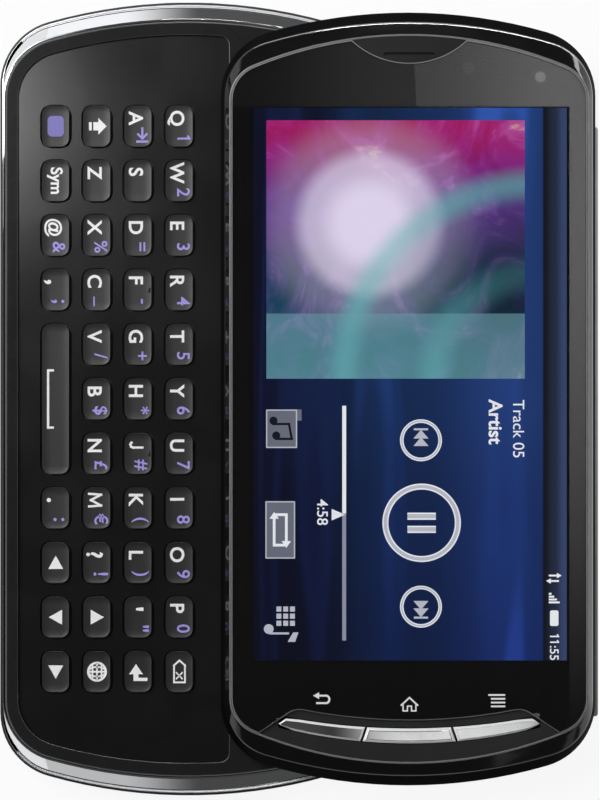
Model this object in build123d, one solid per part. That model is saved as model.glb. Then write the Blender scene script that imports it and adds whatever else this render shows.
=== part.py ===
from build123d import *

import os
from math import cos, radians, sin, sqrt

# A landscape slider phone, slid open. All sizes are in millimetres.
# The origin is the centre of the flat back of the keyboard half. +X is the way the display half
# slides open, +Y points at the earpiece end, and +Z points out of the screen.

# --- Keyboard half: plan outline and thickness ---------------------------------------------------
base_length = 120.0
base_width = 57.0
base_thickness = 7.4
base_bow = 78.0            # radius of the bowed ends, in plan
base_corner = 10.0         # radius where an end meets a long side

# --- Display half --------------------------------------------------------------------------------
display_length = 115.5
display_width = 56.0
display_thickness = 5.85
display_bow = 75.0
display_corner = 10.0

# --- The slide -----------------------------------------------------------------------------------
slide_travel = 33.0
slide_gap = 0.25           # between the two halves

# --- Back cover ----------------------------------------------------------------------------------
cover_floor = 0.9
cover_wall = 0.8
cover_height = 4.9
back_edge_radius = 2.2
back_edge_steps = 3        # facets that draw the rounded edge
cover_inner_bevel = 0.8
cover_lip = 0.4            # width of the cover's edge left in view round the trim band

# --- Bright trim band ----------------------------------------------------------------------------
band_height = 1.9
band_foot = 0.3            # height of its foot, which carries a bead and a groove
band_bead = 0.15           # height of the bead above the foot
band_bead_width = 0.25
band_groove = 0.15         # shadow line between the bead and the leaning face
band_side_share = 0.2      # bead and groove are this much narrower along the sides
band_end_run = 2.4         # how far the ring reaches in at the ends
band_side_run = 0.25       # and along the sides
band_crest = 0.3           # thickness left at its upper edge

# --- Keyboard frame ------------------------------------------------------------------------------
trim_gap = 0.1             # shadow line between trimmed parts
fit = 0.1                  # play of parts dropped into one another
frame_flange = 2.65        # height of the flange that carries the band
frame_wall = 1.0
rim_edge = 0.25            # bevel of the rim
deck_recess = 0.55         # keyboard deck below the rim
deck_thickness = 0.8
deck_end_inset = 5.3       # deck edge from the phone's outline, at the ends
deck_side_inset = 3.0      # and at the left side
deck_right = 6.2           # right edge of the deck
deck_corner = 1.4          # its two right corners

# --- Keyboard ------------------------------------------------------------------------------------
key_columns = 11
key_rows = 4
key_end_margin = 14.9      # from each end of the phone to the field of keys
key_pitch_short = 6.2      # along X
first_row = -1.25          # x of the number row
key_length = 6.3
key_width = 4.5
key_corner = 1.3
key_pillow = 0.35          # bevel of a key's top edge
key_play = 0.15
key_rise = 0.45            # key top above the deck
key_skirt = 0.4            # skirt under the deck, beyond the key
key_skirt_height = 0.28
key_travel = 0.3
space_columns = 3
home_keys = ("key_b04", "key_b07")
home_bump = (0.35, 0.8, 0.24)  # the bar on each home key, half sunk in its top
home_bump_offset = 1.6     # from the key's middle, towards the number row
mat_thickness = 0.4
touch_gap = 0.05           # between stacked parts
corner_facets = 2          # facets that draw a small round corner

# --- Inside the keyboard half --------------------------------------------------------------------
board_thickness = 0.8
battery_length = 58.0
battery_width = 44.0
battery_setback = 8.5      # from the lower end of the phone
battery_corner = 1.5
can_height = 2.4
can_gap = 2.0              # between battery and shield cans
wide_can = (20.0, 22.0)    # along X and Y
narrow_can = (16.0, 14.0)
can_corner = 0.5
can_spacing = 4.0

# --- Sockets and rear camera ---------------------------------------------------------------------
jack_radius = 1.8
jack_x = 14.0
jack_height = 3.0          # its axis above the back
jack_length = 12.0
jack_block = 6.0
jack_setback = 6.2         # its mouth behind the end of the phone
usb_from_top = 30.0
usb_width = 8.0
usb_depth = 6.0
usb_height = 2.6
usb_shell = 0.4
camera_radius = 4.4
camera_from_top = 14.0
camera_recess = 0.2
lens_radius = 2.2
lens_depth = 0.5
flash_radius = 1.6
flash_offset = 8.5
speaker_from_bottom = 14.0
speaker_slots = 5
speaker_slot_length = 6.0
speaker_slot_width = 1.0
speaker_slot_corner = 0.3
speaker_slot_pitch = 2.2

# --- Side keys -----------------------------------------------------------------------------------
side_key_height = 2.0
side_key_middle = 2.8      # height of their middle above the back
side_key_proud = 0.25
side_key_depth = 1.4       # from the outer face to the flange
side_flange = 0.5          # flange beyond each end of the key
side_flange_thickness = 0.7
side_play = 0.12
side_key_edge = 0.3
side_key_travel = 0.3
rocker_length = 16.0
rocker_from_top = 42.0
camera_key_length = 8.0
camera_key_from_bottom = 22.0
power_key_length = 8.0
power_key_x = 0.0

# --- Display housing -----------------------------------------------------------------------------
underside_inset = 0.5
widest_level = 1.9         # heights above the underside of the display half
crease_level = 4.2
face_level = 5.55
crease_end_inset = 1.95
crease_side_inset = 0.75
crease_corner = 8.2
face_end_inset = 3.9
face_side_inset = 1.45
face_bow = 60.5
face_corner = 5.6
face_rim = 0.25            # rim left round the glass
chin_drop = 0.3            # chin surface below the rim

# --- Front glass ---------------------------------------------------------------------------------
glass_thickness = 0.9
glass_edge = 0.15
smile_peak_x = 16.8        # the glass's lower edge: two peaks, a sag between them, and the ends
smile_peak_in = 8.1        # sizes ending in _in are measured from the face's end
smile_sag = 1.75
smile_end_x = 24.5
smile_end_in = 2.95
smile_peak_radius = 3.0
notch_radius = 12.4        # half-moon notch for the earpiece
notch_in = 4.25
earpiece_slot_length = 7.5
earpiece_slot_width = 0.5
earpiece_slot_in = 2.95
earpiece_drop = 0.15       # earpiece cover below the glass

# --- Display module ------------------------------------------------------------------------------
module_length = 86.0
module_width = 49.0
module_thickness = 2.1
module_y = 1.6
module_corner = 1.0

# --- Front keys: one crescent cut in three --------------------------------------------------------
crescent_reach = 19.3      # half its length
crescent_top_in = 5.15     # its upper and lower edges, in the middle
crescent_bottom_in = 2.95
crescent_top_bow = 101.0
crescent_bottom_bow = 78.0
crescent_top_corner = 1.0
crescent_bottom_corner = 0.5
crescent_cut_top = 6.4     # x of each dividing cut at the upper and lower edges
crescent_cut_bottom = 7.15
crescent_cut_gap = 0.35
crescent_cut_reach = 3.0   # how far the dividing cuts run on past both edges
front_key_proud = 0.35     # above the chin
front_key_depth = 1.2
front_key_edge = 0.3
front_key_play = 0.12
front_key_travel = 0.25

# --- Slide plate and runners ---------------------------------------------------------------------
plate_thickness = 1.0
plate_end_inset = 8.75
plate_side_inset = 1.6
plate_corner = 3.0
runner_inset = 9.0         # from the plate's ends
runner_length = 18.0
runner_left = 8.0
runner_neck = 1.6
runner_head = 3.0
runner_corner = 0.4
runner_lip = 0.25          # plate left under and over the runner's head
runner_play = 0.1
runner_lift = 0.05
edge_strip_top_inset = 8.3     # the plate's edge that shows along the right side
edge_strip_bottom_inset = 1.5
edge_strip_proud = 0.45
edge_strip_root = 6.0      # how far the strip runs back into the plate
edge_strip_corner = 0.4

# --- Levels worked out from the sizes above ------------------------------------------------------
band_top = cover_height + band_height
key_pitch_long = (base_length - 2 * key_end_margin) / key_columns
deck_level = base_thickness - deck_recess
deck_underside = deck_level - deck_thickness
skirt_top = deck_underside - touch_gap
skirt_bottom = skirt_top - key_skirt_height
mat_top = skirt_bottom - key_travel - touch_gap / 2
mat_bottom = mat_top - mat_thickness
board_top = mat_bottom - touch_gap
board_bottom = board_top - board_thickness
underside = base_thickness + slide_gap
face = underside + face_level
glass_top = underside + display_thickness
glass_bottom = glass_top - glass_thickness
chin = face - chin_drop
rim_end_inset = cover_lip + band_end_run + band_crest + trim_gap
rim_side_inset = cover_lip + band_side_run + band_crest + trim_gap
display_middle = Pos(slide_travel, 0, 0)
battery_end = battery_setback - base_length / 2
usb_y = base_length / 2 - usb_from_top
camera_y = base_length / 2 - camera_from_top
speaker_y = speaker_from_bottom - base_length / 2
rocker_y = base_length / 2 - rocker_from_top
camera_key_y = camera_key_from_bottom - base_length / 2
face_end = display_length / 2 - face_end_inset
smile_peak_y = smile_peak_in - face_end
smile_end_y = smile_end_in - face_end
notch_bottom = face_end - notch_in
earpiece_slot_y = face_end - earpiece_slot_in
crescent_top = crescent_top_in - face_end
crescent_bottom = crescent_bottom_in - face_end
plate_length = display_length - 2 * plate_end_inset
runner_y = plate_length / 2 - runner_inset
edge_strip_top = plate_length / 2 - edge_strip_top_inset
edge_strip_bottom = edge_strip_bottom_inset - plate_length / 2


def outline(length, width, bow, corner):
    """A half's plan outline: straight long sides, bowed ends and rounded corners."""
    shoulder = length / 2 - bow + sqrt(bow ** 2 - width ** 2 / 4)
    with BuildSketch() as plan:
        with BuildLine():
            Line((width / 2, -shoulder), (width / 2, shoulder))
            ThreePointArc((width / 2, shoulder), (0, length / 2), (-width / 2, shoulder))
            Line((-width / 2, shoulder), (-width / 2, -shoulder))
            ThreePointArc((-width / 2, -shoulder), (0, -length / 2), (width / 2, -shoulder))
        make_face()
        fillet(plan.vertices(), corner)
    return plan.sketch


def base_outline(end_inset=0.0, side_inset=None):
    """The keyboard half's outline, drawn in by an inset; the sides may have their own."""
    side = end_inset if side_inset is None else side_inset
    inset = min(end_inset, side)
    length = base_length - 2 * end_inset
    return outline(length, base_width - 2 * side, base_bow - inset, base_corner - inset)


def display_outline(end_inset, side_inset, bow=display_bow, corner=display_corner):
    """The display half's outline, drawn in at its ends and its sides."""
    return outline(display_length - 2 * end_inset, display_width - 2 * side_inset, bow, corner)


def plate(sketch, bottom, top):
    """A sketch made solid between two heights."""
    return Pos(0, 0, bottom) * extrude(sketch, top - bottom)


def eased_rectangle(width, length, corner, facets=corner_facets):
    """A rectangle whose small round corners are drawn with a few facets each."""
    signs = [(1, 1), (-1, 1), (-1, -1), (1, -1)]
    points = []
    for quarter, (side_x, side_y) in enumerate(signs):
        for step in range(facets + 1):
            turn = radians(90 * (quarter + step / facets))
            x = side_x * (width / 2 - corner) + corner * cos(turn)
            y = side_y * (length / 2 - corner) + corner * sin(turn)
            points.append((x, y))
    return make_face(Polyline(*points, close=True))


def rounded_box(x_range, y_range, z_range, corner):
    """An upright block with rounded vertical edges."""
    width = x_range[1] - x_range[0]
    length = y_range[1] - y_range[0]
    middle = Pos((x_range[0] + x_range[1]) / 2, (y_range[0] + y_range[1]) / 2)
    return plate(middle * eased_rectangle(width, length, corner, facets=2), *z_range)


def bottom_edges(solid):
    """The edges round a solid's lowest face."""
    return solid.faces().sort_by(Axis.Z)[0].edges()


def top_edges(solid):
    """The edges round a solid's highest face."""
    return solid.faces().sort_by(Axis.Z)[-1].edges()


# --- Keyboard layout -----------------------------------------------------------------------------
def key_centres():
    """Each key's name, with its place and its length along Y."""
    places = []
    for row in range(key_rows):
        x = first_row - row * key_pitch_short
        for column in range(key_columns):
            y = ((key_columns - 1) / 2 - column) * key_pitch_long
            middle_column = abs(column - (key_columns - 1) / 2) <= space_columns // 2
            if row < key_rows - 1 or not middle_column:
                places.append((f"key_{'abcd'[row]}{column + 1:02d}", x, y, key_length))
    space_length = key_length + (space_columns - 1) * key_pitch_long
    space_x = first_row - (key_rows - 1) * key_pitch_short
    places.append(("key_space", space_x, 0.0, space_length))
    return places


def keyboard_key(x, y, length):
    """A pillow-topped key that stands on a wider skirt."""
    cap = plate(eased_rectangle(key_width, length, key_corner), skirt_top, deck_level + key_rise)
    cap = chamfer(top_edges(cap), key_pillow)
    skirt = Rectangle(key_width + 2 * key_skirt, length + 2 * key_skirt)
    return Pos(x, y, 0) * (cap + plate(skirt, skirt_bottom, skirt_top))


def key_holes():
    """The openings in the deck, one round each key."""
    holes = Sketch()
    for name, x, y, length in key_centres():
        size = (key_width + 2 * key_play, length + 2 * key_play)
        holes += Pos(x, y) * eased_rectangle(*size, key_corner + key_play)
    return holes


def home_key_bump(x, y):
    """The small bar by which a finger finds a home key."""
    return Pos(x + home_bump_offset, y, deck_level + key_rise) * Box(*home_bump)


def mat_outline(clearance):
    """The rubber mat's outline: it underlies every key's skirt."""
    margin = 2 * (key_skirt + frame_wall + clearance)
    rows_reach = (key_rows - 1) * key_pitch_short
    columns_reach = (key_columns - 1) * key_pitch_long
    size = (rows_reach + key_width + margin, columns_reach + key_length + margin)
    return Pos(first_row - rows_reach / 2, 0) * eased_rectangle(*size, key_corner)


# --- Side keys -----------------------------------------------------------------------------------
def side_key_shape(length, play, flange_play):
    """A side key pointing along +X with its outer face at x = 0, grown by a play to cut its seat."""
    depth = side_key_depth + side_flange_thickness
    cap = Box(depth, length + 2 * play, side_key_height + 2 * play)
    cap = Pos(-depth / 2, 0, side_key_middle) * cap
    seat_depth = side_flange_thickness + 2 * flange_play
    seat_length = length + 2 * (side_flange + flange_play)
    seat = Box(seat_depth, seat_length, side_key_height + 2 * flange_play)
    return cap, Pos(-side_key_depth - side_flange_thickness / 2, 0, side_key_middle) * seat


def side_key(length):
    """A side key with a rounded outer face and a flange that keeps it in the wall."""
    cap, flange = side_key_shape(length, 0.0, 0.0)
    outer_face = cap.faces().sort_by(Axis.X)[-1]
    return chamfer(outer_face.edges(), side_key_edge) + flange


def side_places():
    """Where each side key sits: name, length and the location of its outer face."""
    right = base_width / 2 + side_key_proud
    x_reach = power_key_x
    end = base_length / 2 - base_bow + sqrt(base_bow ** 2 - x_reach ** 2) + side_key_proud
    tilt = Rot(0, 0, 90)
    return {
        "volume_rocker": (rocker_length, Pos(right, rocker_y, 0)),
        "camera_key": (camera_key_length, Pos(right, camera_key_y, 0)),
        "power_key": (power_key_length, Pos(power_key_x, end, 0) * tilt),
    }


def side_key_cuts(through_wall):
    """What the side keys need cut: slots through the cover wall, or seats in the frame."""
    cuts = Part()
    for length, place in side_places().values():
        cap, seat = side_key_shape(length, side_play, side_key_travel + side_play)
        cuts += place * (cap if through_wall else seat)
    return cuts


# --- Sockets -------------------------------------------------------------------------------------
def jack_bore():
    """The round headphone socket, a bore along Y through the earpiece end."""
    depth = jack_length + jack_setback
    upright = Cylinder(jack_radius, depth, align=(Align.CENTER, Align.CENTER, Align.MIN))
    return Pos(jack_x, base_length / 2 - depth, jack_height) * Rot(-90, 0, 0) * upright


def usb_slot(play):
    """The flat data socket's mouth, through the left side."""
    size = (2 * usb_depth, usb_width + 2 * play, usb_height - usb_shell + 2 * play)
    middle = board_bottom - usb_height / 2
    return Pos(-base_width / 2, usb_y, middle) * Box(*size)


# --- Keyboard half -------------------------------------------------------------------------------
def battery_cover():
    """Moulded back shell with a flat back and a rounded edge."""
    levels = []
    for step in range(back_edge_steps + 1):
        turn = radians(90 * step / back_edge_steps)
        level = base_outline(back_edge_radius * (1 - sin(turn)))
        levels.append(Pos(0, 0, back_edge_radius * (1 - cos(turn))) * level.faces()[0])
    shell = loft(levels, ruled=True) + plate(base_outline(), back_edge_radius, cover_height)
    hollow = plate(base_outline(cover_wall), cover_floor, cover_height)
    hollow = chamfer(bottom_edges(hollow), cover_inner_bevel)
    shell -= hollow
    shell -= Pos(0, camera_y, 0) * Cylinder(camera_radius + fit, 3 * cover_floor)
    shell -= Pos(flash_offset, camera_y, 0) * Cylinder(flash_radius + fit, 3 * cover_floor)
    for slot in range(speaker_slots):
        x = (slot - (speaker_slots - 1) / 2) * speaker_slot_pitch
        half = speaker_slot_width / 2
        ends = (speaker_y - speaker_slot_length / 2, speaker_y + speaker_slot_length / 2)
        shell -= rounded_box((x - half, x + half), ends, (0, cover_floor), speaker_slot_corner)
    shell -= side_key_cuts(through_wall=True)
    shell -= jack_bore()
    shell -= usb_slot(fit)
    return shell


def band_outline(inward):
    """The trim ring's outline, drawn in by less along the sides than at the ends."""
    return base_outline(cover_lip + inward, cover_lip + band_side_share * inward)


def chrome_band():
    """Bright trim ring: a bead and a groove along its foot, and a face that leans in at the ends."""
    foot_top = cover_height + band_foot
    ring = plate(band_outline(0), cover_height, foot_top + band_bead)
    ring -= plate(band_outline(band_bead_width), foot_top, foot_top + band_bead)
    face_foot = Pos(0, 0, foot_top) * band_outline(band_bead_width + band_groove)
    crest = Pos(0, 0, band_top) * base_outline(cover_lip + band_end_run, cover_lip + band_side_run)
    ring += loft([face_foot.faces()[0], crest.faces()[0]], ruled=True)
    opening = base_outline(rim_end_inset - trim_gap, rim_side_inset - trim_gap)
    return ring - plate(opening, cover_height, band_top)


def frame_runners():
    """Two T-section runners that carry the display half on its plate."""
    head_bottom = underside + runner_lip + runner_lift + touch_gap
    head_top = underside + plate_thickness - runner_lip - runner_lift
    right = runner_left + runner_length
    runners = Part()
    for y in (-runner_y, runner_y):
        neck_y = (y - runner_neck / 2, y + runner_neck / 2)
        head_y = (y - runner_head / 2, y + runner_head / 2)
        neck = rounded_box((runner_left, right), neck_y, (deck_level, head_bottom), runner_corner)
        head = rounded_box((runner_left, right), head_y, (head_bottom, head_top), runner_corner)
        runners += neck + head
    return runners


def keyboard_frame():
    """Moulded chassis: rim, sunk keyboard deck with its openings, and the slide's runners."""
    foot = cover_height - frame_flange
    frame = plate(base_outline(rim_end_inset, rim_side_inset), foot, base_thickness)
    frame = chamfer(top_edges(frame), rim_edge)
    frame += plate(base_outline(cover_wall + fit), foot, cover_height - touch_gap)
    inside = base_outline(rim_end_inset + frame_wall, rim_side_inset + frame_wall)
    frame -= plate(inside, 0, mat_bottom)
    frame -= plate(mat_outline(fit), mat_bottom, deck_underside)
    deck = base_outline(deck_end_inset, deck_side_inset)
    kept = Pos(deck_right - base_width, 0) * Rectangle(2 * base_width, 2 * base_length)
    deck = deck & kept
    deck = fillet(deck.vertices().group_by(Axis.X)[-1], deck_corner)
    frame -= plate(deck, deck_level, base_thickness)
    frame -= plate(key_holes(), deck_underside, base_thickness)
    frame -= side_key_cuts(through_wall=False)
    frame -= jack_bore()
    frame -= usb_slot(fit)
    return frame + frame_runners()


def key_mat():
    """Silicone mat under the keys."""
    return plate(mat_outline(0), mat_bottom, mat_top)


def battery():
    """Flat cell that lies on the back cover."""
    half = battery_width / 2
    y_range = (battery_end, battery_end + battery_length)
    z_range = (cover_floor + touch_gap, board_bottom - touch_gap)
    return rounded_box((-half, half), y_range, z_range, battery_corner)


def main_board():
    """Circuit board with shield cans and the two sockets on its underside."""
    inset = frame_wall + fit
    board = plate(base_outline(rim_end_inset + inset, rim_side_inset + inset), board_bottom, board_top)
    can_y = battery_end + battery_length + can_gap
    can_z = (board_bottom - can_height, board_bottom)
    board += rounded_box((0, wide_can[0]), (can_y, can_y + wide_can[1]), can_z, can_corner)
    narrow_x = (-can_spacing - narrow_can[0], -can_spacing)
    board += rounded_box(narrow_x, (can_y, can_y + narrow_can[1]), can_z, can_corner)
    left = -base_width / 2 + rim_side_inset + inset
    usb_half = usb_width / 2 + usb_shell
    usb_z = (board_bottom - usb_height, board_bottom)
    board += rounded_box((left, left + usb_depth), (usb_y - usb_half, usb_y + usb_half), usb_z, usb_shell)
    jack_end = base_length / 2 - jack_setback
    jack_x_range = (jack_x - jack_block / 2, jack_x + jack_block / 2)
    jack_z_range = (cover_floor + touch_gap, board_top)
    jack_floor = jack_end - jack_length - frame_wall
    board += rounded_box(jack_x_range, (jack_floor, jack_end), jack_z_range, usb_shell)
    in_front = Box(jack_block, jack_setback, 2 * board_top)
    board -= Pos(jack_x, jack_end + jack_setback / 2, 0) * in_front
    board -= jack_bore()
    board -= usb_slot(0)
    return board


def rear_camera():
    """Camera and flash windows set in the back, with the camera's barrel behind."""
    barrel_top = board_bottom - touch_gap
    barrel = plate(Pos(0, camera_y) * Circle(camera_radius), camera_recess, barrel_top)
    barrel -= plate(Pos(0, camera_y) * Circle(lens_radius), 0, camera_recess + lens_depth)
    flash = plate(Pos(flash_offset, camera_y) * Circle(flash_radius), camera_recess, barrel_top)
    bridge = Box(flash_offset, 2 * flash_radius, board_thickness)
    bridge = Pos(flash_offset / 2, camera_y, barrel_top - board_thickness / 2) * bridge
    return barrel + flash + bridge


# --- Display half --------------------------------------------------------------------------------
def face_outline(rim):
    """The front face inside a rim of the given width."""
    length = display_length - 2 * (face_end_inset + rim)
    width = display_width - 2 * (face_side_inset + rim)
    return outline(length, width, face_bow - rim, face_corner - rim)


def chin_area(gap):
    """The part of the face below the glass, bounded by two peaks and the sag between them."""
    peak = (smile_peak_x, smile_peak_y - gap)
    end = (smile_end_x, smile_end_y - gap)
    below = -display_length
    with BuildSketch() as area:
        with BuildLine():
            ThreePointArc((-peak[0], peak[1]), (0, peak[1] - smile_sag), peak)
            Polyline(peak, end, (end[0] + display_width, end[1]), (end[0] + display_width, below),
                     (-end[0] - display_width, below), (-end[0] - display_width, end[1]),
                     (-end[0], end[1]), (-peak[0], peak[1]))
        make_face()
        peaks = area.vertices().group_by(Axis.Y)[-1]
        fillet(peaks, smile_peak_radius)
    return area.sketch


def notch(gap):
    """The half-moon of the face that the earpiece cover fills."""
    return Pos(0, notch_bottom + notch_radius) * Circle(notch_radius - gap)


def front_crescent(grow):
    """The outline of the three front keys together."""
    top = crescent_top + grow
    bottom = crescent_bottom - grow
    reach = crescent_reach + grow
    top_rise = crescent_top_bow - sqrt(crescent_top_bow ** 2 - reach ** 2)
    bottom_rise = crescent_bottom_bow - sqrt(crescent_bottom_bow ** 2 - reach ** 2)
    with BuildSketch() as area:
        with BuildLine():
            ThreePointArc((-reach, top + top_rise), (0, top), (reach, top + top_rise))
            Line((reach, top + top_rise), (reach, bottom + bottom_rise))
            ThreePointArc((reach, bottom + bottom_rise), (0, bottom), (-reach, bottom + bottom_rise))
            Line((-reach, bottom + bottom_rise), (-reach, top + top_rise))
        make_face()
        fillet(area.vertices().sort_by(Axis.Y)[2:], crescent_top_corner)
        fillet(area.vertices().sort_by(Axis.Y)[:2], crescent_bottom_corner)
    return area.sketch


def display_housing():
    """Moulded shell of the display half: flared flanks with a crease, seats for all it carries."""
    levels = [
        Pos(0, 0, underside) * display_outline(underside_inset, underside_inset),
        Pos(0, 0, underside + widest_level) * display_outline(0, 0),
        Pos(0, 0, underside + crease_level)
        * display_outline(crease_end_inset, crease_side_inset, corner=crease_corner),
        Pos(0, 0, face) * display_outline(face_end_inset, face_side_inset, face_bow, face_corner),
    ]
    shell = loft([level.faces()[0] for level in levels], ruled=True)
    recess = face_outline(face_rim)
    shell -= plate(recess - chin_area(0), glass_bottom - touch_gap, face)
    shell -= plate(recess & chin_area(0), chin, face)
    module_bottom = glass_bottom - 2 * touch_gap - module_thickness
    seat = eased_rectangle(module_width + 2 * fit, module_length + 2 * fit, module_corner)
    shell -= plate(Pos(0, module_y) * seat, module_bottom - touch_gap, glass_bottom)
    key_floor = chin + front_key_proud - front_key_depth - front_key_travel - touch_gap
    shell -= plate(front_crescent(front_key_play), key_floor, face)
    shell -= slide_plate_blank(fit, underside, 2 * edge_strip_proud)
    return display_middle * shell


def front_glass():
    """Cover glass over the whole face down to the chin, notched for the earpiece."""
    pane = face_outline(face_rim + touch_gap) - chin_area(-touch_gap) - notch(0)
    pane = plate(pane, glass_bottom, glass_top)
    return display_middle * chamfer(top_edges(pane), glass_edge)


def display_panel():
    """Display module behind the glass."""
    top = glass_bottom - touch_gap
    sketch = Pos(0, module_y) * eased_rectangle(module_width, module_length, module_corner)
    return display_middle * plate(sketch, top - module_thickness, top)


def earpiece_grille():
    """Half-moon cover with the earpiece slot, level with the glass."""
    cover = face_outline(face_rim + touch_gap) & notch(touch_gap)
    slot = SlotOverall(earpiece_slot_length, earpiece_slot_width)
    cover = plate(cover, glass_bottom, glass_top - earpiece_drop)
    slot_depth = glass_thickness / 2
    slot = plate(Pos(0, earpiece_slot_y) * slot, glass_top - earpiece_drop - slot_depth, glass_top)
    return display_middle * (cover - slot)


def slide_plate_blank(grow, bottom, strip_reach):
    """The slide plate before its slots are cut, or grown and lengthened, the seat that takes it."""
    half = display_width / 2 - plate_side_inset + grow
    reach = plate_length / 2 + grow
    z_range = (bottom, underside + touch_gap + plate_thickness + grow)
    body = rounded_box((-half, half), (-reach, reach), z_range, plate_corner)
    strip_x = (half - edge_strip_root, display_width / 2 + strip_reach)
    strip_y = (edge_strip_bottom - grow, edge_strip_top + grow)
    return body + rounded_box(strip_x, strip_y, z_range, edge_strip_corner)


def slide_rails():
    """Steel plate under the display half, with a T-slot for each runner."""
    bottom = underside + touch_gap
    top = bottom + plate_thickness
    steel = slide_plate_blank(0, bottom, edge_strip_proud)
    left = runner_left - slide_travel - 2 * runner_play
    right = runner_left + runner_length + 2 * runner_play
    for y in (-runner_y, runner_y):
        neck = runner_neck / 2 + runner_play
        head = runner_head / 2 + runner_play
        cavity_z = (bottom + runner_lip, top - runner_lip)
        steel -= rounded_box((left, right), (y - neck, y + neck), (bottom, top - runner_lip), runner_corner)
        steel -= rounded_box((left, right), (y - head, y + head), cavity_z, runner_corner)
    return display_middle * steel


def front_keys():
    """The back, home and menu keys: the crescent cut in three."""
    top = chin + front_key_proud
    bar = plate(front_crescent(0), top - front_key_depth, top)
    low = crescent_bottom - crescent_cut_reach
    high = crescent_top + crescent_cut_reach
    slope = (crescent_cut_bottom - crescent_cut_top) / (crescent_top - crescent_bottom)
    x_low = crescent_cut_bottom + slope * crescent_cut_reach
    x_high = crescent_cut_top - slope * crescent_cut_reach
    half_gap = crescent_cut_gap / 2
    middle = [(x_low - half_gap, low), (x_high - half_gap, high)]
    middle += [(-x, y) for x, y in reversed(middle)]
    tip = crescent_reach + crescent_cut_reach
    right = [(x_low + half_gap, low), (tip, low), (tip, high), (x_high + half_gap, high)]
    left = [(-x, y) for x, y in right]
    keys = {}
    for name, corners in (("back_key", left), ("home_key", middle), ("menu_key", right)):
        cutter = plate(make_face(Polyline(*corners, close=True)), top - front_key_depth, top)
        keys[name] = display_middle * chamfer(top_edges(bar & cutter), front_key_edge)
    return keys


def all_nodes():
    """Every sub-part, by name."""
    nodes = {
        "battery_cover": battery_cover(),
        "chrome_band": chrome_band(),
        "keyboard_frame": keyboard_frame(),
        "key_mat": key_mat(),
        "battery": battery(),
        "main_board": main_board(),
        "rear_camera": rear_camera(),
        "display_housing": display_housing(),
        "front_glass": front_glass(),
        "display_panel": display_panel(),
        "earpiece_grille": earpiece_grille(),
        "slide_rails": slide_rails(),
    }
    nodes.update(front_keys())
    for name, (length, place) in side_places().items():
        nodes[name] = place * side_key(length)
    for name, x, y, length in key_centres():
        nodes[name] = keyboard_key(x, y, length)
    for name, x, y, length in key_centres():
        if name in home_keys:
            nodes[name] += home_key_bump(x, y)
    return nodes


os.makedirs("parts", exist_ok=True)
for node, shape in all_nodes().items():
    export_step(shape, f"parts/{node}.step")
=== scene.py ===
from math import cos, pi, radians, sin

import bmesh
import bpy
from mathutils import Matrix, Vector


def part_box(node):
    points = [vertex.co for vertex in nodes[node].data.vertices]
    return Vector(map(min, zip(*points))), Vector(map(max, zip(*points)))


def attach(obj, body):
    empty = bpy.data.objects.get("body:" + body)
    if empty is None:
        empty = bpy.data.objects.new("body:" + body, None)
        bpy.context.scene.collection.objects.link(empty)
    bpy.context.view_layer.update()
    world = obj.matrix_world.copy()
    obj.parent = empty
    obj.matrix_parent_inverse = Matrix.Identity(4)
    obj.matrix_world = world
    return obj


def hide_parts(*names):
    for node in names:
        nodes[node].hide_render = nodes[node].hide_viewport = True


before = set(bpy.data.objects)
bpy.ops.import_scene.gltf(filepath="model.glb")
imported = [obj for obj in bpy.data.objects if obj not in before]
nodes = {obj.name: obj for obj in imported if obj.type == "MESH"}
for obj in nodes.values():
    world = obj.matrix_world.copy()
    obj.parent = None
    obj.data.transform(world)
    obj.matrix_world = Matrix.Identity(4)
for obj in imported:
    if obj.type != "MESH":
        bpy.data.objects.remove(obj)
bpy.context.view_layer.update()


# --- Battery cover -------------------------------------------------------------------------------
# The moulded back shell of the keyboard half, snapped on from below. Black polycarbonate with a
# fine spark-eroded grain, a little smoother where the hands hold it.
mm = 0.001


def set_inputs(node, values):
    """Feeds a node's inputs, each with a plain value or with another node's output."""
    for key, value in values.items():
        if isinstance(value, bpy.types.NodeSocket):
            node.id_data.links.new(value, node.inputs[key])
        else:
            node.inputs[key].default_value = value


def add_node(tree, kind, inputs=None, **settings):
    """A node with its settings and what its inputs are fed with."""
    node = tree.nodes.new(kind)
    for key, value in settings.items():
        setattr(node, key, value)
    set_inputs(node, inputs or {})
    return node


def object_place(tree):
    """The place on the object."""
    return add_node(tree, "ShaderNodeTexCoord").outputs["Object"]


def noise(tree, place, values):
    """Soft noise at a place."""
    return add_node(tree, "ShaderNodeTexNoise", {"Vector": place, **values}).outputs["Fac"]


def ranged(tree, value, start, end, low=0.0, high=1.0, **settings):
    """Goes from low to high while a value goes from start to end."""
    values = {"Value": value, "From Min": start, "From Max": end, "To Min": low, "To Max": high}
    return add_node(tree, "ShaderNodeMapRange", values, **settings).outputs["Result"]


def maths(tree, operation, *values):
    """One step of arithmetic on numbers and other nodes' outputs."""
    step = add_node(tree, "ShaderNodeMath", dict(enumerate(values)), operation=operation)
    return step.outputs["Value"]


def blended(tree, kind, factor, first, second):
    """Two colours blended by a factor."""
    values = {"Factor": factor, "A": first, "B": second}
    for key in "AB":
        if isinstance(values[key], tuple):
            values[key] = (*values[key], 1)
    return add_node(tree, "ShaderNodeMix", values, data_type="RGBA", blend_type=kind).outputs["Result"]


def new_material(name):
    """A material with its node tree and its shader."""
    material = bpy.data.materials.new(name)
    material.use_nodes = True
    return material, material.node_tree, material.node_tree.nodes["Principled BSDF"]


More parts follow.
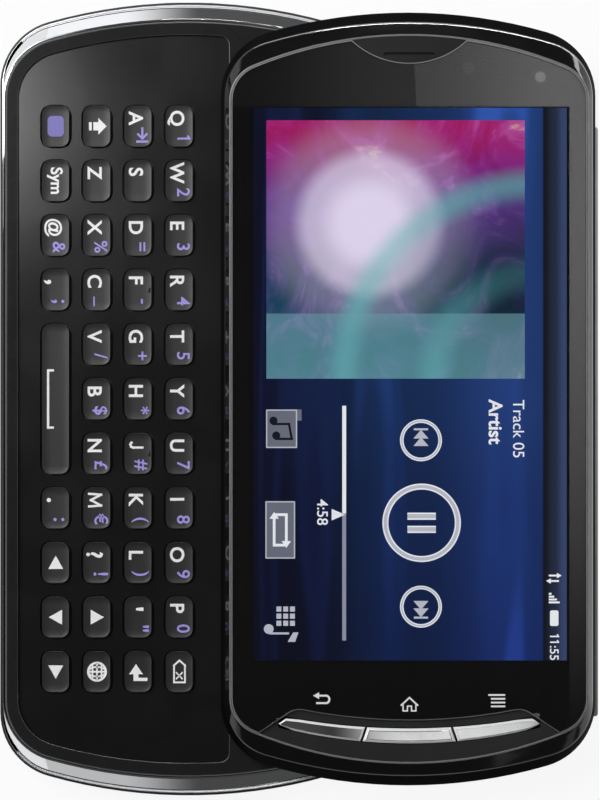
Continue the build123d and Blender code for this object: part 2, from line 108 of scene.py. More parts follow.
def handled_surface():
    """Node group: moulded grain and the faint smears that hands leave, on any dark or bright part."""
    tree = bpy.data.node_groups.new("handled_surface", "ShaderNodeTree")
    sockets = (
        ("INPUT", "Color", "Colour Smeared"), ("INPUT", "Float", "Roughness Spread Grain Smear"),
        ("OUTPUT", "Color", "Colour"), ("OUTPUT", "Float", "Roughness Height"),
    )
    for way, kind, labels in sockets:
        for label in labels.split():
            tree.interface.new_socket(label, in_out=way, socket_type=f"NodeSocket{kind}")
    given = add_node(tree, "NodeGroupInput").outputs
    place = object_place(tree)
    grain = noise(tree, place, {"Scale": given["Grain"], "Detail": 3.0, "Roughness": 0.6})
    smear = noise(tree, place, {"Scale": given["Smear"], "Detail": 4.0, "Distortion": 0.7})
    mask = ranged(tree, smear, 0.38, 0.68)
    tint = blended(tree, "MIX", mask, given["Colour"], given["Smeared"])
    rough = maths(tree, "MULTIPLY_ADD", mask, given["Spread"], given["Roughness"])
    add_node(tree, "NodeGroupOutput", {"Colour": tint, "Roughness": rough, "Height": grain})
    return tree


surface = handled_surface()


def finish(name, colour, smeared, roughness, spread, grain, depth, smear=90.0, **plain):
    """A finish whose grain is so many millimetres deep: plain values stay on the shader, what
    varies comes from the surface group."""
    material, tree, shader = new_material(name)
    values = {
        "Colour": (*colour, 1), "Smeared": (*smeared, 1), "Roughness": roughness,
        "Spread": spread, "Grain": grain, "Smear": smear,
    }
    varied = add_node(tree, "ShaderNodeGroup", values, node_tree=surface).outputs
    bump = add_node(tree, "ShaderNodeBump", {"Distance": depth * mm, "Height": varied["Height"]})
    set_inputs(shader, {
        "Base Color": varied["Colour"], "Roughness": varied["Roughness"],
        "Normal": bump.outputs["Normal"], **plain,
    })
    return material


def dress(material, *names):
    """Gives plain parts their finish."""
    for name in names:
        for slot in nodes[name].material_slots:
            slot.material = material


cover_black = finish(
    "cover_black", (0.012, 0.012, 0.013), (0.018, 0.018, 0.019), 0.5, -0.12, 6000.0, 0.006
)
dress(cover_black, "battery_cover")

# --- Rear camera ---------------------------------------------------------------------------------
# Camera and flash windows of smoked acrylic, moulded flat. They are set in the back and glued from
# inside.
window_black = finish(
    "window_black", (0.006, 0.006, 0.008), (0.01, 0.01, 0.012), 0.06, 0.05, 2500.0, 0.001
)
dress(window_black, "rear_camera")

# --- Battery -------------------------------------------------------------------------------------
# The flat lithium cell, wrapped in a sleeve of matt grey film. It lies loose on the cover, so that
# it can be changed.
sleeve_grey = finish("sleeve_grey", (0.03, 0.03, 0.032), (0.04, 0.04, 0.042), 0.5, 0.1, 3000.0, 0.004)
dress(sleeve_grey, "battery")

# --- Main board ----------------------------------------------------------------------------------
# The circuit board: laminate in green solder mask, with its shield cans and the two sockets
# soldered on.
mask_green = finish("mask_green", (0.01, 0.07, 0.03), (0.015, 0.09, 0.04), 0.35, 0.15, 3500.0, 0.004)
dress(mask_green, "main_board")

# --- Trim band -----------------------------------------------------------------------------------
# The bright ring round the keyboard half, vacuum-plated over plastic and clipped over the frame. It
# is polished, with painted shade darkening its colour along the long sides, and a satin bead below.
trim_silver = finish(
    "trim_silver", (0.78, 0.79, 0.81), (0.74, 0.75, 0.77), 0.03, 0.01, 9000.0, 0.00005, Metallic=1.0
)


def part_shape(node):
    """A part's own shape as one merged mesh, flat areas whole."""
    bm = bmesh.new()
    bm.from_mesh(nodes[node].data)
    bmesh.ops.remove_doubles(bm, verts=bm.verts, dist=0.001 * mm)
    bmesh.ops.dissolve_limit(
        bm, angle_limit=radians(0.2), use_dissolve_boundaries=False, verts=bm.verts,
        edges=bm.edges, delimit=set(),
    )
    return bm


def ended_mesh(bm, name):
    """Ends the work on a mesh and hands it over."""
    mesh = bpy.data.meshes.new(name)
    bm.to_mesh(mesh)
    bm.free()
    return mesh


def placed(name, data):
    """An object in the scene."""
    item = bpy.data.objects.new(name, data)
    bpy.context.collection.objects.link(item)
    return item


def finished_piece(bm, name, body, slot, *materials, sharp=25):
    """Turns a mesh in work into a smooth-shaded piece that rides on a body."""
    mesh = ended_mesh(bm, name)
    for layer in ("custom_normal", "sharp_face"):
        if mesh.attributes.get(layer):
            mesh.attributes.remove(mesh.attributes[layer])
    mesh.shade_smooth()
    mesh.set_sharp_from_angle(angle=radians(sharp))
    for material in materials:
        mesh.materials.append(material)
    piece = placed(name, mesh)
    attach(piece, body)
    return piece


def level_faces(piece):
    """Keeps large faces flat in the light, so that only the rounded edges turn it."""
    level_lean = 0.9995
    for face in piece.data.polygons:
        if face.normal.z > level_lean:
            face.use_smooth = False
    even = piece.modifiers.new("level_faces", "WEIGHTED_NORMAL")
    even.keep_sharp = True
    even.weight = 100


def bevelled(bm, geom, width, segments, affect="EDGES"):
    """Rounds edges or corners and returns the new faces."""
    return bmesh.ops.bevel(
        bm, geom=geom, offset=width, offset_type="OFFSET", segments=segments, profile=0.5,
        affect=affect, clamp_overlap=True, material=-1,
    )["faces"]


def round_edges(bm, levels, width, segments=3):
    """Rounds the hard edges that run at the given heights in millimetres."""
    near = 0.004 * mm
    least_turn = radians(6)
    chosen = []
    for edge in bm.edges:
        heights = [vertex.co.z for vertex in edge.verts]
        level = any(all(abs(z - height * mm) < near for z in heights) for height in levels)
        if level and edge.calc_face_angle(0.0) > least_turn:
            chosen.append(edge)
    return bevelled(bm, chosen, width * mm, segments)


def shaded_sides(material, start, end, tone):
    """Paints shade into a plating's colour, darker towards the middle of the long sides."""
    tree = material.node_tree
    shader = tree.nodes["Principled BSDF"]
    split = add_node(tree, "ShaderNodeSeparateXYZ", {"Vector": object_place(tree)})
    away = maths(tree, "ABSOLUTE", split.outputs["Y"])
    mask = ranged(tree, away, start * mm, end * mm)
    plating = shader.inputs["Base Color"].links[0].from_socket
    set_inputs(shader, {"Base Color": blended(tree, "MIX", mask, (tone, tone, tone), plating)})


# Painted shade: the band's colour darkens along its long sides.
shaded_sides(trim_silver, 45.5, 50.0, 0.16)
bead_satin = finish(
    "bead_satin", (0.82, 0.83, 0.85), (0.78, 0.79, 0.81), 0.42, 0.08, 6000.0, 0.0006, Metallic=1.0
)
bead_level = 5.45
ring_edges = (5.35, 6.8)
band = part_shape("chrome_band")
round_edges(band, ring_edges, 0.06, segments=2)
for face in band.faces:
    low = max(vertex.co.z for vertex in face.verts) < bead_level * mm
    face.material_index = int(low and face.normal.z > 0.5)
band = finished_piece(band, "trim_band", "keyboard_half", "trim_band", trim_silver, bead_satin)
level_faces(band)
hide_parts("chrome_band")

# --- Keyboard frame ------------------------------------------------------------------------------
# The moulded chassis: a rim, the sunk keyboard deck and the runners of the slide. Black plastic,
# satin on the deck and glossier on the rim's edge, which is painted a lighter grey as a highlight.
frame_black = finish(
    "frame_black", (0.0055, 0.0055, 0.006), (0.007, 0.007, 0.0075), 0.18, 0.04, 7000.0, 0.0006
)
rim_black = finish(
    "rim_black", (0.0155, 0.0155, 0.016), (0.018, 0.018, 0.0185), 0.25, 0.05, 5000.0, 0.0006, IOR=1.15
)
# Painted highlight: the rim's rounded edge is coloured lighter than the rim.
rim_edge_highlight = finish("rim_edge_highlight", (0.05, 0.05, 0.052), (0.06, 0.06, 0.062), 0.2, 0.05, 5000.0, 0.0004)
rim_level = 7.1
rim_edges = (7.4, 7.15)
hole_foot, hole_top, least_wall = 5.9, 6.9, 0.5
chassis = part_shape("keyboard_frame")
round_edges(chassis, rim_edges, 0.11)
hole_corners = []
for edge in chassis.edges:
    low, high = sorted(vertex.co.z / mm for vertex in edge.verts)
    upright = hole_foot < low < high - least_wall and high < hole_top
    if upright and edge.calc_face_angle(0.0) > radians(10):
        hole_corners.append(edge)
bevelled(chassis, hole_corners, 0.28 * mm, 3)
# The rim's rounding takes the lighter colour of the painted highlight.
for face in chassis.faces:
    if face.calc_center_median().z > rim_level * mm:
        face.material_index = 2 if 0.15 < face.normal.z < 0.98 else 1
chassis = finished_piece(
    chassis, "chassis", "keyboard_half", "keyboard_frame", frame_black, rim_black, rim_edge_highlight
)
level_faces(chassis)
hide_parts("keyboard_frame")

# --- Key mat -------------------------------------------------------------------------------------
# The sheet of dark silicone under the keys, moulded in one piece. It lies on the board and springs
# each key back.
mat_grey = finish("mat_grey", (0.02, 0.02, 0.022), (0.03, 0.03, 0.032), 0.6, 0.1, 4000.0, 0.004)
dress(mat_grey, "key_mat")

# --- Keyboard keys -------------------------------------------------------------------------------
# 42 moulded caps in four rows. Each has a crisp lip and a dished top on a straight wall, and stands
# on a wider skirt that the deck holds down. The caps are tinted dark with a soft satin gloss.
key_width = 4.05
key_corner = 1.25
key_gap = 0.07
cap_foot = 6.0
cap_top = 7.3
cap_steps = ((0.03, 0.03), (0.05, 0.0), (0.1, -0.03), (0.3, -0.037), (0.35, -0.028), (0.35, -0.014))
cap_shoulder = cap_top - cap_steps[0][1]
skirt_foot = 5.72
skirt_reach = 0.4
key_black = finish("key_black", (0.015, 0.015, 0.016), (0.018, 0.018, 0.019), 0.38, 0.04, 5000.0, 0.001)


def rectangle(bm, centre, width, length, z):
    """A flat rectangle, in millimetres."""
    x, y = centre
    corners = ((-1, -1), (1, -1), (1, 1), (-1, 1))
    verts = [bm.verts.new((x + sx * width / 2, y + sy * length / 2, z)) for sx, sy in corners]
    return bm.faces.new(verts)


def rounded_face(bm, centre, width, length, corner, z, segments=6):
    """A rectangle with round corners, in millimetres."""
    face = rectangle(bm, centre, width, length, z)
    bevelled(bm, list(face.verts), corner, segments, "VERTICES")
    level = [other for other in bm.faces if abs(other.calc_center_median().z - z) < 0.001]
    return max(level, key=lambda other: other.calc_area())


def raise_face(bm, face, height):
    """Pulls a face straight up into a wall and returns the new top."""
    grown = bmesh.ops.extrude_face_region(bm, geom=[face])["geom"]
    top = next(item for item in grown if isinstance(item, bmesh.types.BMFace))
    bmesh.ops.translate(bm, verts=list(top.verts), vec=(0, 0, height))
    return top


def in_metres(bm):
    """Ends a closed shape that was drawn in millimetres, normals outward."""
    bmesh.ops.recalc_face_normals(bm, faces=bm.faces)
    bmesh.ops.scale(bm, vec=(mm, mm, mm), verts=bm.verts)


def key_cap(name, width, length):
    """A key: its cap with a lip and a dished top, and its skirt."""
    low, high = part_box(name)
    centre = ((low[0] + high[0]) / 2 / mm, (low[1] + high[1]) / 2 / mm)
    bm = bmesh.new()
    foot = rounded_face(bm, centre, width, length, key_corner, cap_foot)
    top = raise_face(bm, foot, cap_shoulder - cap_foot)
    for inward, upward in cap_steps:
        bmesh.ops.inset_region(bm, faces=[top], thickness=inward, depth=upward, use_even_offset=True)
    skirt = rectangle(bm, centre, (high[0] - low[0]) / mm, (high[1] - low[1]) / mm, skirt_foot)
    raise_face(bm, skirt, cap_foot - skirt_foot)
    in_metres(bm)
    return bm, centre


def key_length(name):
    """The length of a key's cap, in millimetres."""
    low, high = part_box(name)
    return (high[1] - low[1]) / mm - 2 * skirt_reach - 2 * key_gap


def cap_height(inset):
    """Height of a cap's dished top at a distance from the cap's edge."""
    height = cap_shoulder
    for inward, upward in cap_steps:
        height += upward * min(1.0, max(0.0, inset / inward))
        inset -= inward
    return height


# --- Key legends ---------------------------------------------------------------------------------
# Pad-printed letters in white and second functions in lilac, following the caps' dish. They read
# with the phone turned on its side, so their tops point the way the display slides.
def ink(name, colour):
    """Printing ink: even colour with the fine mottle of a pad print."""
    paler = tuple(min(1.0, part * 1.12) for part in colour)
    return finish(name, colour, paler, 0.45, 0.1, 5000.0, 0.001, smear=2500.0)


letter_white = ink("letter_white", (0.93, 0.93, 0.94))
letter_lilac = ink("letter_lilac", (0.36, 0.31, 0.76))
square_lilac = ink("square_lilac", (0.2, 0.175, 0.5))


def shape(bm, points, tone=0):
    """A flat shape drawn from its corners."""
    face = bm.faces.new([bm.verts.new((x, y, 0)) for x, y in points])
    face.material_index = tone
    face.normal_update()
    if face.normal.z < 0:
        face.normal_flip()


def bar(bm, start, end, width, tone=0):
    """A straight stroke between two points."""
    start, end = Vector(start), Vector(end)
    side = (end - start).orthogonal().normalized() * width / 2
    shape(bm, (start + side, start - side, end - side, end + side), tone)


def path(bm, points, width, tone=0):
    """Straight strokes one after another, each a little longer than its run so that corners close."""
    for start, end in zip(points, points[1:]):
        along = (Vector(end) - Vector(start)).normalized() * width / 2
        bar(bm, Vector(start) - along, Vector(end) + along, width, tone)


def ring(bm, centre, radius, width, tone=0, segments=40):
    """A flat ring."""
    rims = []
    for reach in (radius, radius - width):
        made = bmesh.ops.create_circle(bm, cap_ends=False, segments=segments, radius=reach)
        bmesh.ops.translate(bm, verts=made["verts"], vec=(*centre, 0))
        rims += list({edge for vertex in made["verts"] for edge in vertex.link_edges})
    band_faces = bmesh.ops.bridge_loops(bm, edges=rims)["faces"]
    bmesh.ops.recalc_face_normals(bm, faces=band_faces)
    for face in band_faces:
        face.material_index = tone
        if face.normal.z < 0:
            face.normal_flip()


def disc(bm, centre, radius, tone=0):
    """A flat disc."""
    made = bmesh.ops.create_circle(bm, cap_ends=True, segments=32, radius=radius)
    bmesh.ops.translate(bm, verts=made["verts"], vec=(*centre, 0))
    made["verts"][0].link_faces[0].material_index = tone


def letters(bm, text, place, height, tone=0, weight=0.035, align="CENTER"):
    """Flat letters whose capitals are centred on a place."""
    capital = 0.73
    curve = bpy.data.curves.new("letters", "FONT")
    curve.body = text
    curve.size = height / capital
    curve.align_x = align
    curve.offset = weight * height
    curve.resolution_u = 5
    holder = bpy.data.objects.new("letters", curve)
    mesh = bpy.data.meshes.new_from_object(holder)
    mesh.transform(Matrix.Translation((place[0], place[1] - height / 2, 0)))
    before = set(bm.faces)
    bm.from_mesh(mesh)
    for face in set(bm.faces) - before:
        face.material_index = tone
    bpy.data.objects.remove(holder)
    bpy.data.curves.remove(curve)
    bpy.data.meshes.remove(mesh)


def as_film(piece, thickness):
    """Gives flat marks the thickness of a film, in millimetres."""
    film = piece.modifiers.new("film", "SOLIDIFY")
    film.thickness = thickness * mm
    film.offset = -1


def printed(bm, name, centre, level, body, slot, *inks, turn=-90, thickness=0.01):
    """Lays flat marks in place as a thin film."""
    bmesh.ops.remove_doubles(bm, verts=bm.verts, dist=0.0001)
    where = Matrix.Translation((centre[0], centre[1], level)) @ Matrix.Rotation(radians(turn), 4, "Z")
    bmesh.ops.transform(bm, matrix=Matrix.Scale(mm, 4) @ where, verts=bm.verts)
    piece = finished_piece(bm, name, body, slot, *inks)
    piece.data.shade_flat()
    as_film(piece, thickness)
    return piece


def figure_one(bm, place, height, tone=0):
    """A figure 1 with a flag, which the plain lettering lacks."""
    u, v = place
    bar(bm, (u, v - height / 2), (u, v + height / 2), 0.15 * height, tone)
    bar(bm, (u, v + 0.43 * height), (u - 0.24 * height, v + 0.27 * height), 0.13 * height, tone)


def drawn_letter(bm, sign, place, height):
    """A capital drawn stroke by stroke, where the plain lettering's is unsound."""
    u, v = place
    line = [(u + height * across, v + height * up) for across, up in drawn_signs[sign]]
    path(bm, line, 0.155 * height)


letter_place = (-1.2, -0.28)
symbol_place = (1.72, 0.66)
letter_height = 2.15
symbol_height = 1.98
sign_styles = ((letter_place, letter_height, 0, 0.03), (symbol_place, symbol_height, 1, 0.016))
drawn_signs = {
    "J": ((0.14, 0.42), (0.14, -0.22), (0.07, -0.37), (-0.08, -0.42), (-0.2, -0.34)),
    "M": ((-0.44, -0.42), (-0.38, 0.42), (0.0, -0.3), (0.38, 0.42), (0.44, -0.42)),
}
sign_scale = {",": 1.3, ".": 1.3, ";": 1.25, ":": 1.25, "'": 1.3, '"': 1.25, "!": 1.15, "?": 1.15}
sign_lift = {",": 0.44, ".": 0.44, ";": 0.29, ":": 0.29, "_": 0.16, "-": 0.28, "'": -0.35, '"': -0.27}
sign_nudge = {
    "E": -0.3, "F": -0.3, "R": -0.22, "S": -0.15, "P": -0.2, "K": -0.15, "I": -0.12, "C": -0.1,
}
legends = {
    "a": ("Q", "W2", "E3", "R4", "T5", "Y6", "U7", "I8", "O9", "P0", ""),
    "b": ("A", "S", "D=", "F-", "G+", "H*", "J#", "K(", "L)", "'\"", ""),
    "c": ("", "Z", "X%", "C_", "V/", "B$", "N£", "M€", "?!", "", ""),
    "d": ("", "", "@&", ",;", "", "", "", ".:", "", "", ""),
}


def triangle(bm, direction):
    """An arrow key's triangle, pointing left, right, up or down as it reads."""
    turn = {"right": 0, "up": 90, "left": 180, "down": 270}[direction]
    spin = Matrix.Rotation(radians(turn), 2)
    shape(bm, [spin @ Vector(point) for point in ((1.05, 0), (-0.95, 1.12), (-0.95, -1.12))])


def delete_mark(bm):
    """Backspace: an arrow-ended tag with a cross in it."""
    tag = ((-1.7, 0), (-0.95, 0.82), (1.6, 0.82), (1.6, -0.82), (-0.95, -0.82), (-1.7, 0))
    path(bm, tag, 0.27)
    path(bm, ((0.15, 0.4), (1.05, -0.45)), 0.22)
    path(bm, ((0.15, -0.45), (1.05, 0.4)), 0.22)


def enter_mark(bm):
    """Enter: a stem that comes down and turns left into a head."""
    shape(bm, ((-1.15, -0.34), (0.38, 0.72), (0.38, -1.38)))
    bar(bm, (0.38, -0.34), (0.9, -0.34), 0.75)
    bar(bm, (1.15, -0.71), (1.15, 1.39), 0.5)


def shift_mark(bm):
    """Shift: a broad arrow up over a bar."""
    shape(bm, ((0, 1.45), (-1.25, 0.2), (1.25, 0.2)))
    shape(bm, ((-0.62, 0.2), (-0.62, -0.55), (0.62, -0.55), (0.62, 0.2)))
    bar(bm, (-0.62, -1.0), (0.62, -1.0), 0.42)


def tab_mark(bm):
    """Tab: an arrow into a bar, in lilac beside its letter."""
    bar(bm, (0.15, 0.62), (1.75, 0.62), 0.32, 1)
    path(bm, ((1.2, 1.25), (1.85, 0.62), (1.2, -0.01)), 0.32, 1)
    bar(bm, (2.3, 1.55), (2.3, -0.31), 0.34, 1)


def globe_mark(bm):
    """Globe: a ring crossed by meridians and parallels."""
    ring(bm, (0, 0), 1.5, 0.34)
    bar(bm, (-1.3, 0), (1.3, 0), 0.28)
    bar(bm, (0, -1.3), (0, 1.3), 0.28)
    for side in (-1, 1):
        bar(bm, (-1.1, 0.68 * side), (1.1, 0.68 * side), 0.24)
        turns = [radians(turn) for turn in range(-80, 81, 20)]
        path(bm, [(side * 0.72 * cos(turn), 1.3 * sin(turn)) for turn in turns], 0.24)


marks = {
    "key_a11": delete_mark, "key_b01": tab_mark, "key_b11": enter_mark, "key_c01": shift_mark,
    "key_c10": lambda bm: triangle(bm, "up"), "key_c11": globe_mark,
    "key_d02": lambda bm: letters(bm, "Sym", (0, 0.2), 1.8, weight=0.035),
    "key_d09": lambda bm: triangle(bm, "left"), "key_d10": lambda bm: triangle(bm, "down"),
    "key_d11": lambda bm: triangle(bm, "right"),
    "key_space": lambda bm: path(bm, ((-4.3, -0.45), (-4.3, -1.15), (4.3, -1.15), (4.3, -0.45)), 0.34),
}
home_keys = ("key_b04", "key_b07")
home_bump = (1.6, 0)
home_bump_sink = 0.12
ink_lift = 0.016

for name in nodes:
    if not name.startswith("key_") or name == "key_mat":
        continue
    cap, centre = key_cap(name, key_width, key_length(name))
    cap = finished_piece(cap, f"{name}_cap", name, "keyboard_key", key_black, sharp=40)
    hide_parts(name)
    row, number = name[4], name[5:]
    text = legends[row][int(number) - 1] if number.isdigit() else ""
    print_work = bmesh.new()
    if name == "key_d03":
        letters(print_work, "@", (-1.2, -0.1), 2.0, weight=0.03)
        letters(print_work, "&", (1.75, 0.58), 1.98, 1, 0.015)
    elif text:
        for sign, ((u, v), height, tone, weight) in zip(text, sign_styles):
            if sign in drawn_signs:
                drawn_letter(print_work, sign, (u, v), height)
                continue
            place = (u + sign_nudge.get(sign, 0.0), v + sign_lift.get(sign, 0.0))
            letters(print_work, sign, place, height * sign_scale.get(sign, 1.0), tone, weight)
    if text == "Q":
        figure_one(print_work, (1.85, symbol_place[1]), symbol_height, 1)
    if name in marks:
        marks[name](print_work)
    inks = (letter_white, letter_lilac)
    if name == "key_d01":
        rounded_face(print_work, (0, 0), 3.1, 2.45, 0.65, 0)
        inks = (square_lilac,)
    legend = printed(print_work, f"{name}_legend", centre, cap_top, name, "keyboard_key", *inks)
    for vertex in legend.data.vertices:
        x, y = vertex.co.x / mm - centre[0], vertex.co.y / mm - centre[1]
        inset = min(key_width / 2 - abs(x), key_length(name) / 2 - abs(y))
        vertex.co.z = (cap_height(inset) + ink_lift) * mm
    if name in home_keys:
        bump = bmesh.new()
        top = raise_face(bump, rounded_face(bump, home_bump, 0.35, 0.8, 0.15, 0, 3), 0.2)
        bmesh.ops.inset_region(bump, faces=[top], thickness=0.06, depth=0.04, use_even_offset=True)
        bmesh.ops.translate(bump, vec=(*centre, cap_top - home_bump_sink), verts=bump.verts)
        in_metres(bump)
        finished_piece(bump, f"{name}_bump", name, "keyboard_key", key_black, sharp=40)

# --- Side keys -----------------------------------------------------------------------------------
# Volume rocker, camera key and power key, moulded and plated like the band. They are let in through
# the cover's wall.
side_silver = finish(
    "side_silver", (0.6, 0.61, 0.63), (0.56, 0.57, 0.59), 0.28, 0.06, 6000.0, 0.0008, Metallic=1.0
)
dress(side_silver, "volume_rocker", "camera_key", "power_key")

# --- Slide plate ---------------------------------------------------------------------------------
# The stamped steel plate under the display half. Its edge shows along the right side, brushed
# lengthwise.
plate_steel = finish(
    "plate_steel", (0.52, 0.53, 0.55), (0.55, 0.56, 0.575), 0.34, 0.03, 4000.0, 0.002, Metallic=1.0
)


def brushed(material, across, along, light):
    """Draws a brushing of fine lengthwise lines into a metal's colour."""
    tree = material.node_tree
    shader = tree.nodes["Principled BSDF"]
    scaled = {"Vector": object_place(tree), "Scale": (across, along, across)}
    drawn = add_node(tree, "ShaderNodeMapping", scaled)
    lines = noise(tree, drawn.outputs["Vector"], {"Scale": 1.0, "Detail": 3.0})
    share = ranged(tree, lines, 0.35, 0.75, 0.0, 0.6)
    metal = shader.inputs["Base Color"].links[0].from_socket
    set_inputs(shader, {"Base Color": blended(tree, "MIX", share, metal, (light, light, light))})


brushed(plate_steel, 5000.0, 60.0, 0.7)
dress(plate_steel, "slide_rails")

# --- Display housing -----------------------------------------------------------------------------
# The moulded black shell of the display half, with a crease along its flared flanks, a thin grey rim
# round the glass and a satin chin. The flanks have a hard clear lacquer, thickest along the crease,
# and the foot is left matt.
housing_gloss = finish(
    "housing_gloss", (0.0035, 0.0035, 0.004), (0.005, 0.005, 0.0055), 0.05, 0.04, 3000.0, 0.0003, IOR=1.28
)
flank_gloss = finish(
    "flank_gloss", (0.0035, 0.0035, 0.004), (0.005, 0.005, 0.0055), 0.06, 0.04, 3000.0, 0.0002, IOR=1.5
)
crease_gloss = finish(
    "crease_gloss", (0.0035, 0.0035, 0.004), (0.005, 0.005, 0.0055), 0.09, 0.03, 3000.0, 0.0002, IOR=3.0
)
chin_black = finish(
    "chin_black", (0.023, 0.023, 0.0235), (0.027, 0.027, 0.0275), 0.3, 0.1, 4000.0, 0.0004, IOR=1.25
)
foot_black = finish(
    "foot_black", (0.003, 0.003, 0.0032), (0.004, 0.004, 0.0042), 0.4, 0.1, 5000.0, 0.002, IOR=1.04
)
rim_line = finish(
    "rim_line", (0.2, 0.202, 0.205), (0.17, 0.172, 0.175), 0.3, 0.08, 5000.0, 0.0006, Metallic=0.3
)
foot_level = 11.6
flank_level = 11.7
chin_level = 12.7
chin_top = -44.0
line_level = 13.15
foot_edge, crease_edge, rim_top = 9.55, 11.85, 13.2
gloss, flank, foot, line, crease, chin = range(6)
housing = part_shape("display_housing")
for face in round_edges(housing, (crease_edge,), 0.5, segments=6):
    face.material_index = crease
round_edges(housing, (foot_edge,), 0.2, segments=3)
round_edges(housing, (rim_top,), 0.06, segments=2)
for face in housing.faces:
    middle, lean = face.calc_center_median() / mm, face.normal.z
    if face.material_index == crease and middle.y > chin_top and face.normal.x > -0.3:
        continue
    face.material_index = gloss
    if middle.z < foot_level:
        face.material_index = foot
    elif middle.z > line_level:
        face.material_index = line
    elif middle.z > chin_level and lean > 0.95 and middle.y < chin_top:
        face.material_index = chin
    elif 0.3 < lean < 0.95 and max(vertex.co.z for vertex in face.verts) > flank_level * mm:
        face.material_index = flank
housing = finished_piece(
    housing, "housing_shell", "display_half", "display_housing",
    housing_gloss, flank_gloss, foot_black, rim_line, crease_gloss, chin_black, sharp=30,
)
level_faces(housing)
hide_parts("display_housing")

# --- Earpiece cover ------------------------------------------------------------------------------
# A half-moon of fine dark mesh with the sound slot cut through it. It is stamped out and glued into
# the glass's notch.
grille_grey = finish(
    "grille_grey", (0.007, 0.0073, 0.0075), (0.009, 0.0093, 0.0095), 0.4, 0.1, 6000.0, 0.004, IOR=1.35
)
dress(grille_grey, "earpiece_grille")

# --- Front keys ----------------------------------------------------------------------------------
# Back, home and menu: one crescent cut in three, each key moulded, plated bright and bevelled all
# round. The bevels are painted near-white as a highlight all round.
key_chrome = finish(
    "key_chrome", (0.84, 0.85, 0.86), (0.8, 0.81, 0.82), 0.05, 0.03, 5000.0, 0.0001, Metallic=1.0
)
# Painted highlight: the bevel is near-white, so that it shows as a bright outline under any light.
key_bevel_highlight = finish(
    "key_bevel_highlight", (0.93, 0.935, 0.94), (0.89, 0.895, 0.9), 0.35, 0.05, 5000.0, 0.0004, Metallic=0.1
)


def pointed_end(bm, side, reach=1.9, tip=0.12, slope=0.15, tip_zone=0.3):
    """Draws the outer end of a key in to a point: side -1 is the left key's end, 1 the right's."""
    end = max(side * vertex.co.x for vertex in bm.verts)
    near = [vertex.co.y for vertex in bm.verts if side * vertex.co.x > end - tip_zone * mm]
    middle = (max(near) + min(near)) / 2
    for vertex in bm.verts:
        away = end - side * vertex.co.x
        if away < reach * mm:
            centre = middle - slope * away
            drawn_in = tip + (1 - tip) * sin(pi / 2 * away / (reach * mm))
            vertex.co.y = centre + (vertex.co.y - centre) * drawn_in


key_face = 13.25
for name, outer_side in (("back_key", -1), ("home_key", 0), ("menu_key", 1)):
    plated = part_shape(name)
    if outer_side:
        pointed_end(plated, outer_side)
    round_edges(plated, (key_face,), 0.17)
    # The bevel faces take the painted highlight.
    for face in plated.faces:
        face.material_index = int(0.1 < face.normal.z < 0.98)
    plated = finished_piece(
        plated, f"{name}_plated", name, "front_key", key_chrome, key_bevel_highlight, sharp=30
    )
    level_faces(plated)
    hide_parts(name)

# --- Display module ------------------------------------------------------------------------------
# The lit panel behind the glass. Its picture is a deep blue wallpaper with soft standing bands,
# a dark strip along the status line, and a player over it.
screen_middle = (33.15, 2.2)
screen_long = 81.7
screen_short = 46.3
panel_top = 12.55
marks_level = panel_top + 0.01
badges_level = panel_top + 0.018


def glowing(name, dark=(0, 0, 0)):
    """A material that glows and has no shine, with its node tree and its shader."""
    material, tree, shader = new_material(name)
    plain = {"Base Color": (*dark, 1), "Specular IOR Level": 0.0, "Emission Strength": 1.0}
    set_inputs(shader, plain)
    return material, tree, shader


def lit(name, colour):
    """A glowing tone, a little uneven like a backlight's: the screen's own light, and painted light on
    the sensors and marks behind the glass.
    """
    material, tree, shader = glowing(name)
    glow = noise(tree, object_place(tree), {"Scale": 160.0, "Detail": 1.0})
    dimmer = tuple(part * 0.8 for part in colour)
    set_inputs(shader, {"Emission Color": blended(tree, "MIX", glow, colour, dimmer)})
    return material


def ramp(tree, factor, stops, smooth=True):
    """A ramp between stops of a place and a colour, or of a place and a grey."""
    node = add_node(tree, "ShaderNodeValToRGB", {"Fac": factor})
    node.color_ramp.interpolation = "EASE" if smooth else "LINEAR"
    while len(node.color_ramp.elements) < len(stops):
        node.color_ramp.elements.new(0.5)
    for element, (spot, tone) in zip(node.color_ramp.elements, stops):
        element.position = spot
        element.color = (*tone, 1) if isinstance(tone, tuple) else (tone, tone, tone, 1)
    return node.outputs["Color"]


def screen_position(tree, centre, width, length):
    """Object coordinates turned into 0..1 across and along an area of the screen."""
    area = {
        "Vector": object_place(tree), "Scale": (width * mm, length * mm, mm),
        "Location": ((centre[0] - width / 2) * mm, (centre[1] - length / 2) * mm, 0),
    }
    fitted = add_node(tree, "ShaderNodeMapping", area, vector_type="TEXTURE").outputs["Vector"]
    split = add_node(tree, "ShaderNodeSeparateXYZ", {"Vector": fitted})
    return fitted, split.outputs["X"], split.outputs["Y"]


